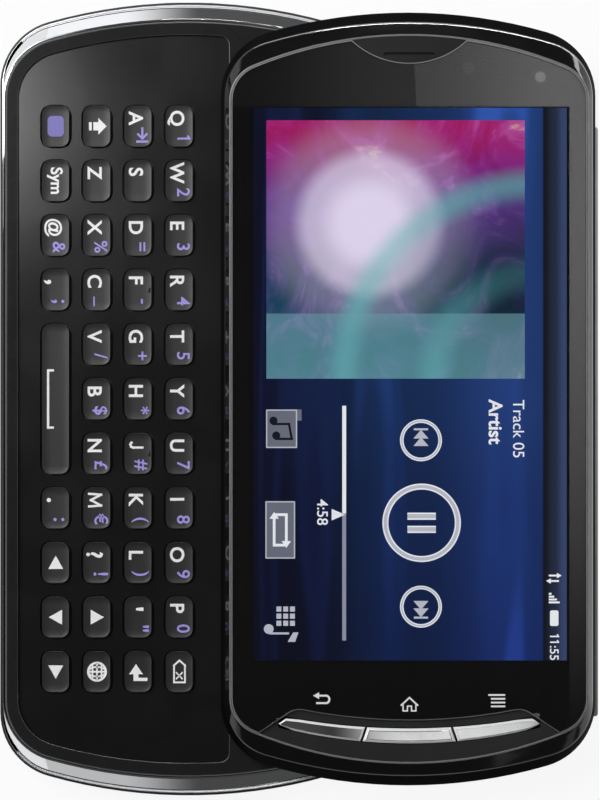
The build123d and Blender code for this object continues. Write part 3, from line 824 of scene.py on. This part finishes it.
def wallpaper():
    """Deep navy to bright blue across the screen, with soft standing bands and a status strip."""
    material, tree, shader = glowing("wallpaper", (0.002, 0.002, 0.003))
    vector, across, along = screen_position(tree, screen_middle, screen_short, screen_long)
    base = ramp(tree, across, (
        (0.0, (0.0002, 0.0008, 0.01)), (0.2, (0.0005, 0.002, 0.014)), (0.36, (0.003, 0.014, 0.052)),
        (0.55, (0.005, 0.021, 0.085)), (0.8, (0.013, 0.042, 0.18)), (1.0, (0.008, 0.03, 0.12)),
    ))
    stretch = add_node(tree, "ShaderNodeMapping", {"Vector": vector, "Scale": (3.4, 0.5, 1.0)})
    drawn_out = {"Scale": 1.6, "Detail": 1.0, "Distortion": 0.5}
    bands = noise(tree, stretch.outputs["Vector"], drawn_out)
    glow = ramp(tree, bands, (
        (0.42, 0.0), (0.52, (0.002, 0.01, 0.05)), (0.6, (0.02, 0.06, 0.28)), (0.72, (0.008, 0.02, 0.1)),
    ))
    share = ramp(tree, across, ((0.0, 0.1), (0.25, 0.15), (0.5, 0.8)))
    lit_bands = blended(tree, "ADD", 1.0, base, blended(tree, "MULTIPLY", 1.0, glow, share))
    fade = ramp(tree, along, ((0.0, (0.45, 0.45, 0.6)), (0.25, (0.65, 0.65, 0.75)), (0.5, 1.0)))
    shaded = blended(tree, "MULTIPLY", 1.0, lit_bands, fade)
    strip = ramp(tree, across, ((0.924, 0.0), (0.926, 1.0)), smooth=False)
    strip_tone = ramp(tree, across, (
        (0.925, (0.003, 0.004, 0.008)), (0.96, (0.014, 0.02, 0.045)), (0.993, (0.035, 0.055, 0.14)),
    ))
    set_inputs(shader, {"Emission Color": blended(tree, "MIX", strip, shaded, strip_tone)})
    return material


dress(wallpaper(), "display_panel")


def behind_glass(bm, name, centre, level, slot, *inks, turn=-90):
    """Prints marks that lie behind the glass and move with the display half."""
    printed(bm, name, centre, level, "display_half", slot, *inks, turn=turn, thickness=0.004)


# The player: a picture for the album, a progress line, the three round keys and the status marks.
# Everything reads with the phone on its side.
screen_white = lit("screen_white", (0.9, 0.92, 0.97))
screen_grey = lit("screen_grey", (0.28, 0.3, 0.4))
screen_dark = lit("screen_dark", (0.006, 0.007, 0.015))
screen_steel = lit("screen_steel", (0.15, 0.16, 0.21))
screen_pale = lit("screen_pale", (0.52, 0.54, 0.62))
player = bmesh.new()
for middle, side in (((8.3, 1.6), -1), ((32.9, 1.6), 1)):
    ring(player, middle, 3.1, 0.14)
    ring(player, middle, 2.96, 0.24, 4)
    ring(player, middle, 2.72, 0.14)
    u, v = middle
    for step in (-0.75, 0.35):
        tip = u + side * (step + 1.2)
        shape(player, ((tip, v), (tip - side * 1.3, v + 1.12), (tip - side * 1.3, v - 1.12)), 4)
    bar(player, (u + side * 1.62, v - 1.05), (u + side * 1.62, v + 1.05), 0.3, 4)
for radius, width, tone in ((5.8, 0.2, 0), (5.6, 0.48, 4), (5.12, 0.2, 0)):
    ring(player, (20.5, 1.7), radius, width, tone, segments=64)
for u in (19.53, 21.47):
    bar(player, (u, -0.4), (u, 3.8), 0.65, 4)
    for side in (-1, 1):
        bar(player, (u + 0.425 * side, -0.4), (u + 0.425 * side, 3.8), 0.2)
bar(player, (3.2, -9.75), (19.1, -9.75), 0.58)
bar(player, (19.1, -9.75), (37.9, -9.75), 0.58, 1)
shape(player, ((19.3, -9.6), (20.15, -11.6), (18.45, -11.6)))
letters(player, "4:58", (18.95, -12.9), 1.65, weight=0.01)
letters(player, "Track 05", (2.3, 16.1), 1.75, weight=0.0, align="LEFT")
letters(player, "Artist", (2.3, 12.7), 2.05, weight=0.03, align="LEFT")
rounded_face(player, (6.6, -19.0), 5.7, 4.6, 0.2, 0, 3).material_index = 3
bar(player, (3.75, -16.5), (5.4, -16.5), 0.9, 3)
rounded_face(player, (21.55, -19.2), 8.5, 4.4, 0.2, 0, 3).material_index = 3
for column in range(3):
    for cell in range(3):
        u, v = 34.3 - 1.05 * (1 - cell), -19.4 + 1.0 * column
        bar(player, (u - 0.38, v), (u + 0.38, v), 0.72, 4)
disc(player, (36.2, -20.9), 0.72, 4)
bar(player, (36.85, -20.8), (36.85, -17.9), 0.3, 4)
shape(player, ((36.7, -17.3), (38.1, -18.1), (38.1, -17.0), (36.7, -16.5)), 4)
for u in (37.3, 38.15):
    figure_one(player, (u, 21.35), 1.35)
letters(player, ":55", (39.75, 21.35), 1.35, weight=0.01)
for step in range(4):
    bar(player, (31.0 + 0.42 * step, 20.5), (31.0 + 0.42 * step, 20.9 + 0.4 * step), 0.28)
rounded_face(player, (34.6, 21.3), 2.3, 1.25, 0.25, 0, 3)
bar(player, (28.3, 20.5), (28.3, 22.0), 0.26)
bar(player, (29.1, 20.5), (29.1, 22.0), 0.26)
shape(player, ((28.3, 22.4), (27.9, 21.7), (28.7, 21.7)))
shape(player, ((29.1, 20.1), (28.7, 20.8), (29.5, 20.8)))
behind_glass(
    player, "player_marks", screen_middle, marks_level, "display_panel",
    screen_white, screen_grey, screen_dark, screen_steel, screen_pale,
)

badges = bmesh.new()
disc(badges, (5.4, -20.2), 0.6)
disc(badges, (7.6, -19.8), 0.6)
path(badges, ((5.9, -20.2), (5.9, -17.9), (8.1, -17.5), (8.1, -19.8)), 0.35)
path(badges, ((19.3, -19.7), (19.3, -18.3), (23.3, -18.3)), 0.4, 1)
path(badges, ((23.8, -18.7), (23.8, -20.1), (19.8, -20.1)), 0.4, 1)
shape(badges, ((24.2, -18.3), (23.2, -17.6), (23.2, -19.0)), 1)
shape(badges, ((18.9, -20.1), (19.9, -19.4), (19.9, -20.8)), 1)
for left, low, right, high in ((3.85, -21.2, 9.35, -16.8), (17.4, -21.3, 25.7, -17.1)):
    path(badges, ((left, low), (right, low), (right, high), (left, high), (left, low)), 0.18, 2)
behind_glass(
    badges, "player_badges", screen_middle, badges_level, "display_panel",
    screen_dark, screen_white, screen_pale,
)


def album_picture():
    """A made-up cover: a pale glow off centre, a teal arc and magenta cloud."""
    material, tree, shader = glowing("album_picture")
    vector, _, along = screen_position(tree, album_middle, album_size, album_size)
    billows = {"Scale": 3.2, "Detail": 9.0, "Roughness": 0.6, "Distortion": 1.8}
    cloud = noise(tree, vector, billows)
    base = ramp(tree, along, (
        (0.0, (0.012, 0.1, 0.13)), (0.35, (0.008, 0.045, 0.09)), (0.65, (0.09, 0.012, 0.2)),
        (1.0, (0.34, 0.008, 0.1)),
    ))
    haze = ramp(tree, cloud, (
        (0.4, (0.0, 0.0, 0.01)), (0.52, (0.05, 0.015, 0.14)), (0.63, (0.25, 0.1, 0.4)),
        (0.74, (0.9, 0.7, 0.5)),
    ))
    mixed = blended(tree, "SCREEN", 0.5, base, haze)

    def spot(centre, radius):
        """How far a point lies from a centre, as 1 inside and 0 beyond the radius."""
        flat = add_node(tree, "ShaderNodeVectorMath", {0: vector, 1: (1, 1, 0)}, operation="MULTIPLY")
        ends = {0: flat.outputs["Vector"], 1: (*centre, 0)}
        away = add_node(tree, "ShaderNodeVectorMath", ends, operation="DISTANCE")
        return maths(tree, "DIVIDE", away.outputs["Value"], radius)

    glow = ramp(tree, spot((0.4, 0.6), 0.5), ((0.2, 0.95), (0.46, 0.62), (0.64, 0.16), (0.95, 0.0)))
    lit_up = blended(tree, "MIX", glow, mixed, (0.8, 0.72, 0.92))
    arcs = ramp(tree, spot((1.05, 0.0), 1.0), (
        (0.3, 0.0), (0.4, 0.5), (0.5, 0.06), (0.66, 0.06), (0.75, 0.55), (0.84, 0.0),
    ))
    swept = blended(tree, "MIX", arcs, lit_up, (0.12, 0.5, 0.5))
    corner = ramp(tree, spot((1.0, 0.35), 0.6), ((0.0, (0.25, 0.25, 0.3)), (1.0, 1.0)))
    deep = blended(tree, "MULTIPLY", 1.0, swept, corner)
    veil = ramp(tree, along, ((0.25, 0.45), (0.252, 0.0)), smooth=False)
    set_inputs(shader, {"Emission Color": blended(tree, "MIX", veil, deep, (0.15, 0.36, 0.42))})
    return material


album_size = 38.2
album_middle = (screen_middle[0] - 2.15, screen_middle[1] + 19.9)
album = bmesh.new()
rectangle(album, (0, 0), album_size, album_size, 0)
behind_glass(album, "album_cover", album_middle, marks_level, "display_panel", album_picture())

# --- Back print ----------------------------------------------------------------------------------
# Black ceramic ink on the underside of the glass, with a window for the picture. The sensors and
# the front camera look through thinner spots beside the earpiece, and white marks stand over the
# three keys. The spots, the camera's ring and the marks glow, though they are no lamps: painted light.
print_level = 12.575
spots_level = print_level + 0.01
print_black = finish(
    "print_black", (0.002, 0.002, 0.0022), (0.0028, 0.0028, 0.003), 0.5, 0.1, 3000.0, 0.0002, IOR=1.02
)
sheet = part_shape("front_glass")
glass_bottom = 12.6 * mm
above = glass_bottom + 0.01 * mm
upper = [face for face in sheet.faces if any(vertex.co.z > above for vertex in face.verts)]
bmesh.ops.delete(sheet, geom=upper, context="FACES")
window_x = [(screen_middle[0] + side * screen_short / 2) * mm for side in (-1, 1)]
window_y = [(screen_middle[1] + side * screen_long / 2) * mm for side in (-1, 1)]
for axis, cuts in (((1, 0, 0), window_x), ((0, 1, 0), window_y)):
    for cut in cuts:
        whole = list(sheet.verts) + list(sheet.edges) + list(sheet.faces)
        point = [part * cut for part in axis]
        bmesh.ops.bisect_plane(sheet, geom=whole, dist=1e-7, plane_co=point, plane_no=axis)
inside = []
for face in sheet.faces:
    middle = face.calc_center_median()
    if window_x[0] < middle.x < window_x[1] and window_y[0] < middle.y < window_y[1]:
        inside.append(face)
bmesh.ops.delete(sheet, geom=inside, context="FACES")
bmesh.ops.translate(sheet, vec=(0, 0, print_level * mm - glass_bottom), verts=sheet.verts)
for face in sheet.faces:
    if face.normal.z < 0:
        face.normal_flip()
sheet = finished_piece(sheet, "back_print", "display_half", "front_glass", print_black)
as_film(sheet, 0.007)

# Painted light: the smoked sensor window and the camera's ring glow faintly, in place of what they
# reflect.
sensor_smoke_painted_glow = lit("sensor_smoke_painted_glow", (0.012, 0.012, 0.013))
sensor_dark = lit("sensor_dark", (0.0, 0.0, 0.0))
camera_ring_painted_glow = lit("camera_ring_painted_glow", (0.1, 0.1, 0.102))
sensors = bmesh.new()
disc(sensors, (41.8, 49.0), 0.9, 0)
disc(sensors, (45.5, 48.5), 0.75, 1)
rounded_face(sensors, (49.4, 48.5), 3.2, 1.25, 0.6, 0).material_index = 1
disc(sensors, (52.4, 47.6), 0.8, 2)
behind_glass(
    sensors, "sensor_windows", (0, 0), spots_level, "front_glass",
    sensor_smoke_painted_glow, sensor_dark, camera_ring_painted_glow, turn=0,
)

key_marks = bmesh.new()
path(key_marks, ((19.5, -43.85), (20.7, -43.85)), 0.28)
turns = [radians(turn) for turn in range(0, 181, 20)]
path(key_marks, [(20.7 + 0.5 * sin(turn), -44.4 + 0.55 * cos(turn)) for turn in turns], 0.28)
path(key_marks, ((20.7, -44.95), (19.4, -44.95)), 0.28)
shape(key_marks, ((18.8, -43.85), (19.7, -43.35), (19.7, -44.35)))
house = (
    (32.1, -45.2), (32.1, -46.1), (32.75, -46.1), (32.75, -45.4), (33.35, -45.4), (33.35, -46.1),
    (34.0, -46.1), (34.0, -45.2),
)
path(key_marks, house, 0.2)
path(key_marks, ((31.85, -45.25), (33.05, -44.15), (34.25, -45.25)), 0.24)
for step, left in enumerate((44.7, 45.1, 45.1, 45.1)):
    bar(key_marks, (left, -43.75 - 0.56 * step), (47.2, -43.75 - 0.56 * step), 0.25)
# Painted light: the white marks glow, standing in for the light that their print would catch under the
# glass.
mark_white_painted_glow = lit("mark_white_painted_glow", (0.75, 0.76, 0.78))
behind_glass(key_marks, "key_marks", (0, 0), spots_level, "front_glass", mark_white_painted_glow, turn=0)

# --- Front glass ---------------------------------------------------------------------------------
# The toughened cover glass, cut with a notch for the earpiece and ground along its edge. It is
# glued into the housing's recess.
pane_clear, tree, shader = new_material("pane_clear")
smears = noise(tree, object_place(tree), {"Scale": 70.0, "Detail": 5.0, "Distortion": 1.2})
set_inputs(shader, {
    "Base Color": (1, 1, 1, 1), "IOR": 1.5, "Transmission Weight": 1.0,
    "Roughness": ranged(tree, smears, 0.5, 0.75, 0.0, 0.03),
})
dress(pane_clear, "front_glass")

ground_glass = finish(
    "ground_glass", (0.17, 0.172, 0.175), (0.2, 0.202, 0.205), 0.4, 0.1, 8000.0, 0.0006
)
edge_lift = 0.006
ground = part_shape("front_glass")
ground.normal_update()
flat = [face for face in ground.faces if not 0.15 < face.normal.z < 0.97]
bmesh.ops.delete(ground, geom=flat, context="FACES")
ground.normal_update()
for vertex in ground.verts:
    outward = Vector((vertex.normal.x, vertex.normal.y, 0)).normalized()
    vertex.co += outward * edge_lift * mm
ground = finished_piece(ground, "glass_edge", "display_half", "front_glass", ground_glass)
as_film(ground, 0.003)

# --- Floor and studio ----------------------------------------------------------------------------
# A plain pale floor that reads white and keeps a soft shadow, a dim ceiling with a bright horizon,
# and softboxes placed where the gloss parts mirror them.
floor_half = 3.0
floor_mesh = bmesh.new()
floor_drop = 0.02
bmesh.ops.create_grid(floor_mesh, x_segments=8, y_segments=8, size=floor_half)
bmesh.ops.translate(floor_mesh, vec=(0, 0, -floor_drop * mm), verts=floor_mesh.verts)
floor = placed("floor", ended_mesh(floor_mesh, "floor"))
floor_paint, tree, shader = new_material("floor_paint")
mottle = noise(tree, object_place(tree), {"Scale": 30.0, "Detail": 3.0})
paint = blended(tree, "MIX", mottle, (0.86, 0.86, 0.86), (0.89, 0.89, 0.89))
set_inputs(shader, {"Base Color": paint, "Roughness": 0.9, "Specular IOR Level": 0.1})
rays = add_node(tree, "ShaderNodeLightPath").outputs
seen = maths(tree, "MAXIMUM", rays["Is Camera Ray"], rays["Is Glossy Ray"])
seen_too = maths(tree, "MAXIMUM", seen, rays["Is Transmission Ray"])
white = add_node(tree, "ShaderNodeEmission", {"Strength": 1.0})
mix = add_node(tree, "ShaderNodeMixShader", {
    "Fac": maths(tree, "MULTIPLY", seen_too, 0.9),
    1: shader.outputs["BSDF"], 2: white.outputs["Emission"],
})
set_inputs(tree.nodes["Material Output"], {"Surface": mix.outputs["Shader"]})
floor.data.materials.append(floor_paint)

world = bpy.data.worlds.new("studio")
bpy.context.scene.world = world
world.use_nodes = True
tree = world.node_tree
direction = add_node(tree, "ShaderNodeTexCoord").outputs["Generated"]
split = add_node(tree, "ShaderNodeSeparateXYZ", {"Vector": direction}).outputs
spreads = (
    ("X", -0.19, -0.02, 1.0, 0.03), ("Y", -0.5, 0.5, 0.55, 1.1), ("Z", 0.07, 0.16, 1.0, 0.0),
)
level = 1.0
for axis, *stops in spreads:
    share = ranged(tree, split[axis], *stops, interpolation_type="SMOOTHSTEP")
    level = maths(tree, "MULTIPLY", share, level)
ceiling = maths(tree, "ADD", level, 0.06)
set_inputs(tree.nodes["Background"], {"Color": (1, 1, 1, 1), "Strength": ceiling})


def softbox(name, place, aim, width, height, brightness):
    """A soft rectangular lamp of a given surface brightness, placed and aimed in millimetres."""
    lamp = bpy.data.lights.new(name, "AREA")
    lamp.shape = "RECTANGLE"
    lamp.size = width * mm
    lamp.size_y = height * mm
    lamp.energy = brightness * pi * lamp.size * lamp.size_y
    holder = placed(name, lamp)
    holder.location = Vector(place) * mm
    holder.rotation_euler = (Vector(aim) - Vector(place)).to_track_quat("-Z", "Y").to_euler()


softbox("key_softbox", (-420, 300, 520), (0, 0, 0), 580, 580, 4.7)
softbox("deck_sheen", (-112, 100, 356), (-35, 45, 0), 50, 90, 12.0)
softbox("far_edge", (120, 540, 73), (40, 58, 12), 360, 22, 32.0)
softbox("corner_edge", (420, 420, 60), (60, 45, 11), 300, 80, 7.0)
softbox("right_edge", (560, 40, 60), (60, 0, 11), 500, 90, 12.0)
softbox("foot_sheen", (310, -380, 115), (46, -56, 12), 380, 90, 0.42)


def ceiling_card(name, corners, along, rising):
    """A glowing card on the ceiling, mirrored by flat tops. It brightens along Y and along X."""
    bm = bmesh.new()
    bm.faces.new([bm.verts.new((x * mm, y * mm, card_height * mm)) for x, y in corners])
    card = placed(name, ended_mesh(bm, name))
    card.visible_camera = False
    material, tree, shader = new_material(name)
    tree.nodes.remove(shader)
    split = add_node(tree, "ShaderNodeSeparateXYZ", {"Vector": object_place(tree)}).outputs
    level = 1.0
    for axis, (start, end, low, high) in (("Y", along), ("X", rising)):
        fade = ranged(
            tree, split[axis], start * mm, end * mm, low, high, interpolation_type="SMOOTHSTEP"
        )
        level = maths(tree, "MULTIPLY", fade, level)
    glow = add_node(tree, "ShaderNodeEmission", {"Strength": level})
    set_inputs(tree.nodes["Material Output"], {"Surface": glow.outputs["Emission"]})
    card.data.materials.append(material)


card_height = 356.5
glare_corners = ((52, 88.2), (98, 88.2), (98, -130), (150, -130), (150, 150), (48.5, 150))
ceiling_card("glare_card", glare_corners, (-110, 75, 0.06, 1.45), (50, 100, 0.45, 1.0))
faint_corners = ((-5, 88.2), (52, 88.2), (48.5, 150), (-5, 150))
ceiling_card("faint_card", faint_corners, (80, 88, 0.33, 0.33), (0, 52, 0.3, 1.0))
chin_corners = ((24, -107), (89, -107), (89, -94.5), (72, -95), (54, -97.8), (36, -95.5), (24, -94.5))
ceiling_card("chin_card", chin_corners, (-108, -95, 0.85, 1.0), (26, 50, 0.03, 1.0))

# --- Camera --------------------------------------------------------------------------------------
# It looks straight down on the open phone, through a long lens that shows little of its walls.
# Colours come out as they are set.
camera_data = bpy.data.cameras.new("camera")
camera_data.lens = 100.66
camera_data.sensor_width = 36.0
camera_data.clip_start = 0.01
camera = placed("camera", camera_data)
camera.location = (16.87 * mm, -0.15 * mm, 343.5 * mm)
bpy.context.scene.camera = camera
bpy.context.scene.view_settings.view_transform = "Standard"
